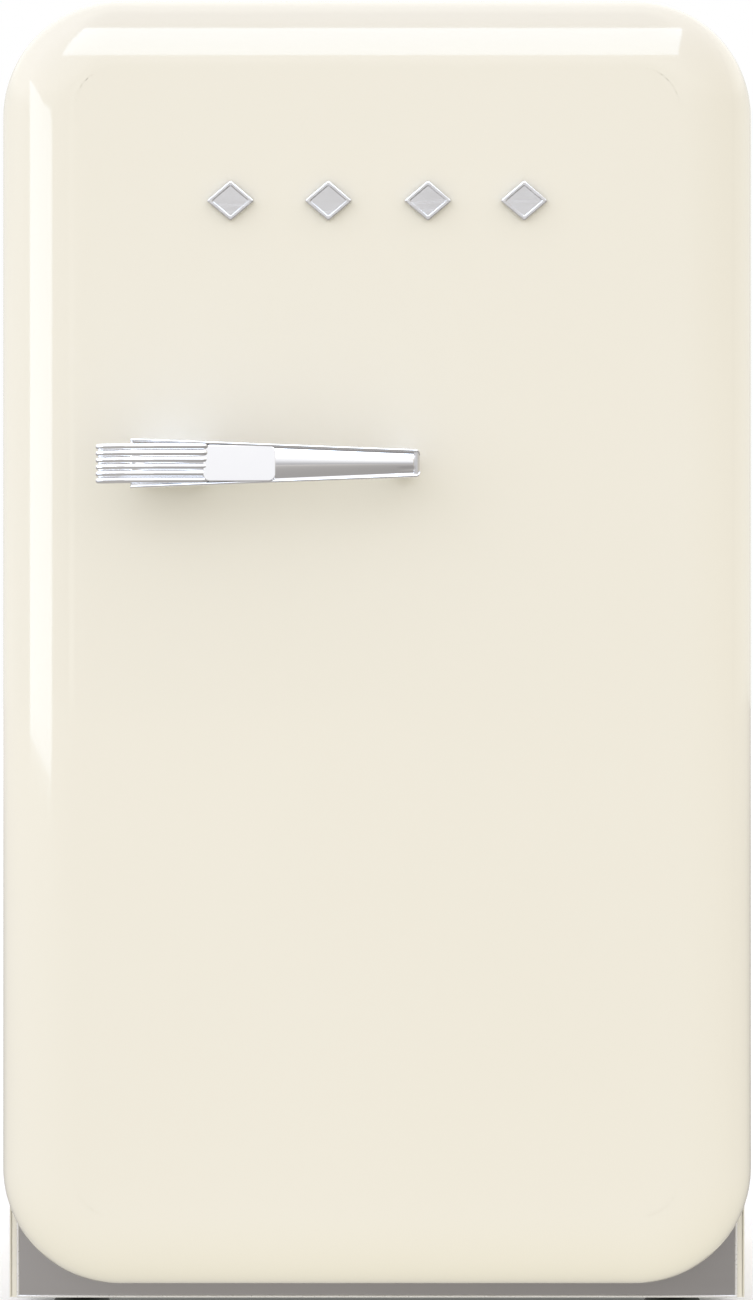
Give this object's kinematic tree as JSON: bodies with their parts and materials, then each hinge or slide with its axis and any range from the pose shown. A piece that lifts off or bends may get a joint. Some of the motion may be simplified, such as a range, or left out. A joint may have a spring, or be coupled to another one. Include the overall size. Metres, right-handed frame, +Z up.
{
  "type": "mini fridge",
  "caption": "Retro free-standing mini fridge with rounded domed door, chrome pull handle, steel plinth plate and a silent absorption cooling unit behind.",
  "frame": {"origin": "on the floor, under the middle of the fridge's width and of its overall depth", "axes": "+Z up, +X to the right of a person who faces the door, so the door faces -Y"},
  "size_m": [0.404, 0.498, 0.72],
  "materials": {
    "cream_enamel": "gloss enamel",
    "white_plastic": "smooth",
    "foam": "rigid polyurethane foam",
    "chrome": "polished",
    "satin_chrome": "satin",
    "brushed_steel": "brushed",
    "zinc_plate": "zinc plated sheet",
    "aluminium": "extruded",
    "unit_black": "semi-gloss black",
    "grey_rubber": "matt",
    "dark_plastic": "moulded",
    "shelf_glass": "clear",
    "lamp_lens": "frosted"
  },
  "bodies": {
    "cabinet": {"absorber_coil": "unit_black", "absorber_vessel": "unit_black", "ammonia_line": "unit_black", "back_panel": "zinc_plate", "base_pan": "zinc_plate", "boiler_can": "zinc_plate", "cabinet_foam": "foam", "cabinet_shell": "cream_enamel", "condenser": "unit_black", "control_housing": "white_plastic", "drain_tube": "white_plastic", "drip_tray": "white_plastic", "evaporation_pan": "dark_plastic", "evaporator_fins": "aluminium", "front_frame": "cream_enamel", "heat_exchanger": "unit_black", "hinge_bracket_bottom": "zinc_plate", "hinge_bracket_top": "zinc_plate", "hinge_pin_bottom": "brushed_steel", "hinge_pin_top": "brushed_steel", "inner_liner": "white_plastic", "junction_box": "dark_plastic", "lamp_lens": "lamp_lens", "mains_inlet": "dark_plastic", "plinth_panel": "brushed_steel", "pump_tube": "unit_black", "rear_foot_left": "dark_plastic", "rear_foot_right": "dark_plastic", "shelf_glass_lower": "shelf_glass", "shelf_glass_upper": "shelf_glass", "shelf_trim_lower": "chrome", "shelf_trim_upper": "chrome", "solution_line": "unit_black", "unit_bracket_lower": "zinc_plate", "unit_bracket_upper": "zinc_plate", "wall_spacer_left": "dark_plastic", "wall_spacer_right": "dark_plastic"},
    "door": {"door_skin": "cream_enamel", "door_foam": "foam", "door_frame": "cream_enamel", "door_inner_panel": "white_plastic", "door_gasket": "grey_rubber", "handle_arm": "chrome", "handle_grip": "chrome", "handle_post_left": "chrome", "handle_post_right": "chrome", "ornament_1": "satin_chrome", "ornament_2": "satin_chrome", "ornament_3": "satin_chrome", "ornament_4": "satin_chrome", "hinge_bush_top": "dark_plastic", "hinge_bush_bottom": "dark_plastic"},
    "rack_upper": {"door_rack_upper": "white_plastic", "rack_rail_upper": "chrome"},
    "rack_lower": {"door_rack_lower": "white_plastic", "rack_rail_lower": "chrome"},
    "thermostat_knob": {"thermostat_knob": "dark_plastic"},
    "foot_left": {"front_foot_left": "dark_plastic"},
    "foot_right": {"front_foot_right": "dark_plastic"}
  },
  "joints": [
    {"name": "door_hinge", "type": "hinge", "parent": "cabinet", "child": "door", "pos_m": [0.187, -0.1545, 0.374], "axis": [0, 0, 1], "range_deg": [0, 110]},
    {"name": "thermostat_turn", "type": "hinge", "parent": "cabinet", "child": "thermostat_knob", "pos_m": [0.034, -0.0503, 0.643], "axis": [0, 1, 0], "range_deg": [0, 270]},
    {"name": "rack_upper_lift", "type": "slide", "parent": "door", "child": "rack_upper", "axis": [0, 0, 1], "range_m": [0, 0.015]},
    {"name": "rack_lower_lift", "type": "slide", "parent": "door", "child": "rack_lower", "axis": [0, 0, 1], "range_m": [0, 0.015]},
    {"name": "foot_left_screw", "type": "slide", "parent": "cabinet", "child": "foot_left", "axis": [0, 0, -1], "range_m": [0, 0.012]},
    {"name": "foot_right_screw", "type": "slide", "parent": "cabinet", "child": "foot_right", "axis": [0, 0, -1], "range_m": [0, 0.012]}
  ]
}
